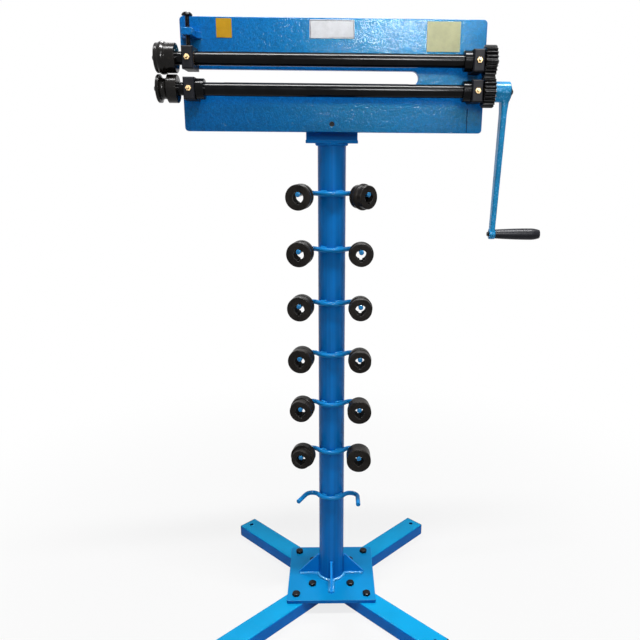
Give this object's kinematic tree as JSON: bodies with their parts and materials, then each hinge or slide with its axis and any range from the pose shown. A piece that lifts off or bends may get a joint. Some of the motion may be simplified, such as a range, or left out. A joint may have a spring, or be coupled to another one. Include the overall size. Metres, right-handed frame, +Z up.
{
  "type": "bead roller",
  "caption": "Hand-cranked bead roller: geared shafts with rolling dies on a slotted head plate, on a column stand with splayed legs and hooks of spare dies.",
  "frame": {"origin": "on the floor under the middle of the column, at the centre of the circle of anchor holes in the legs", "axes": "+Z up, the front of the machine faces -Y, the crank is at +X and the rolling dies at -X"},
  "size_m": [0.7521, 0.4928, 1.2604],
  "materials": {
    "stand_paint": "gloss enamel",
    "head_paint": "hammertone enamel",
    "crank_paint": "metallic enamel",
    "plug_plastic": "matt",
    "bolt_steel": "black oxide",
    "block_steel": "blued",
    "bronze": "satin",
    "brass": "bright",
    "shaft_steel": "polished black",
    "key_steel": "bright",
    "gear_steel": "black oxide",
    "die_steel": "black oxide",
    "grip_plastic": "satin"
  },
  "bodies": {
    "stand": {"leg_front_right": "stand_paint", "leg_back_right": "stand_paint", "leg_back_left": "stand_paint", "leg_front_left": "stand_paint", "leg_plugs": "plug_plastic", "base_plate": "stand_paint", "base_bolts": "bolt_steel", "base_nuts": "bolt_steel", "column": "stand_paint", "gussets": "stand_paint", "hook_rods": "stand_paint", "top_hook_rod": "stand_paint", "saddle_plate": "stand_paint", "head_upright": "stand_paint", "head_bolts": "bolt_steel", "head_plate": "head_paint", "lower_left_block": "block_steel", "lower_right_block": "block_steel", "lower_bushes": "bronze", "lower_grease_nipples": "brass", "lower_block_bolts": "bolt_steel"},
    "lower_shaft": {"lower_shaft": "shaft_steel", "lower_gear": "gear_steel", "lower_die": "die_steel", "lower_keys": "key_steel", "lower_end_screws": "bolt_steel", "lower_collars": "shaft_steel", "crank_arm": "crank_paint", "grip_spindle": "bolt_steel"},
    "upper_carrier": {"upper_left_block": "block_steel", "upper_right_block": "block_steel", "upper_bushes": "bronze", "upper_grease_nipples": "brass", "shoulder_bolts": "bolt_steel"},
    "upper_shaft": {"upper_shaft": "shaft_steel", "upper_gear": "gear_steel", "upper_die": "die_steel", "upper_keys": "key_steel", "upper_end_screws": "bolt_steel", "upper_collar": "shaft_steel"},
    "thrust_pad": {"thrust_pad": "key_steel"},
    "adjusting_screw": {"adjusting_screw": "bolt_steel"},
    "grip": {"grip": "grip_plastic"},
    "grooved_die_1": {"grooved_die_1": "die_steel"},
    "beaded_die_1": {"beaded_die_1": "die_steel"},
    "grooved_die_2": {"grooved_die_2": "die_steel"},
    "beaded_die_2": {"beaded_die_2": "die_steel"},
    "grooved_die_3": {"grooved_die_3": "die_steel"},
    "beaded_die_3": {"beaded_die_3": "die_steel"},
    "grooved_die_4": {"grooved_die_4": "die_steel"},
    "beaded_die_4": {"beaded_die_4": "die_steel"},
    "grooved_die_5": {"grooved_die_5": "die_steel"},
    "beaded_die_5": {"beaded_die_5": "die_steel"},
    "grooved_die_6": {"grooved_die_6": "die_steel"},
    "beaded_die_6": {"beaded_die_6": "die_steel"}
  },
  "joints": [
    {"name": "crank_spin", "type": "hinge", "parent": "stand", "child": "lower_shaft", "pos_m": [0, -0.046, 1.1264], "axis": [1, 0, 0], "continuous": true},
    {"name": "grip_spin", "type": "hinge", "parent": "lower_shaft", "child": "grip", "pos_m": [0.373, -0.046, 0.8559], "axis": [1, 0, 0], "continuous": true},
    {"name": "upper_tilt", "type": "hinge", "parent": "stand", "child": "upper_carrier", "pos_m": [0.274, -0.046, 1.1804], "axis": [0, 1, 0], "range_deg": [0, 1.27]},
    {"name": "upper_spin", "type": "hinge", "parent": "upper_carrier", "child": "upper_shaft", "pos_m": [0, -0.046, 1.1804], "axis": [1, 0, 0], "continuous": true},
    {"name": "pad_rise", "type": "slide", "parent": "stand", "child": "thrust_pad", "axis": [0, 0, 1], "range_m": [0, 0.01201]},
    {"name": "screw_turn", "type": "hinge", "parent": "thrust_pad", "child": "adjusting_screw", "pos_m": [-0.266, -0.046, 1.23], "axis": [0, 0, 1], "range_deg": [0, 3456]},
    {"name": "grooved_die_1_off", "type": "slide", "parent": "stand", "child": "grooved_die_1", "axis": [-0.1736, -0.9848, 0], "range_m": [0, 0.034]},
    {"name": "beaded_die_1_off", "type": "slide", "parent": "stand", "child": "beaded_die_1", "axis": [0.6428, -0.766, 0], "range_m": [0, 0.034]},
    {"name": "grooved_die_2_off", "type": "slide", "parent": "stand", "child": "grooved_die_2", "axis": [-0.1736, -0.9848, 0], "range_m": [0, 0.034]},
    {"name": "beaded_die_2_off", "type": "slide", "parent": "stand", "child": "beaded_die_2", "axis": [0, -1, 0], "range_m": [0, 0.034]},
    {"name": "grooved_die_3_off", "type": "slide", "parent": "stand", "child": "grooved_die_3", "axis": [-0.1736, -0.9848, 0], "range_m": [0, 0.034]},
    {"name": "beaded_die_3_off", "type": "slide", "parent": "stand", "child": "beaded_die_3", "axis": [0, -1, 0], "range_m": [0, 0.034]},
    {"name": "grooved_die_4_off", "type": "slide", "parent": "stand", "child": "grooved_die_4", "axis": [-0.1736, -0.9848, 0], "range_m": [0, 0.034]},
    {"name": "beaded_die_4_off", "type": "slide", "parent": "stand", "child": "beaded_die_4", "axis": [0, -1, 0], "range_m": [0, 0.034]},
    {"name": "grooved_die_5_off", "type": "slide", "parent": "stand", "child": "grooved_die_5", "axis": [-0.1736, -0.9848, 0], "range_m": [0, 0.034]},
    {"name": "beaded_die_5_off", "type": "slide", "parent": "stand", "child": "beaded_die_5", "axis": [0, -1, 0], "range_m": [0, 0.034]},
    {"name": "grooved_die_6_off", "type": "slide", "parent": "stand", "child": "grooved_die_6", "axis": [-0.1736, -0.9848, 0], "range_m": [0, 0.034]},
    {"name": "beaded_die_6_off", "type": "slide", "parent": "stand", "child": "beaded_die_6", "axis": [0, -1, 0], "range_m": [0, 0.034]}
  ],
  "couplings": [
    {"joint": "upper_spin", "follows": "crank_spin", "ratio": -1},
    {"joint": "pad_rise", "follows": "upper_tilt", "m_per_rad": 0.54},
    {"joint": "screw_turn", "follows": "upper_tilt", "ratio": 2714.3}
  ]
}
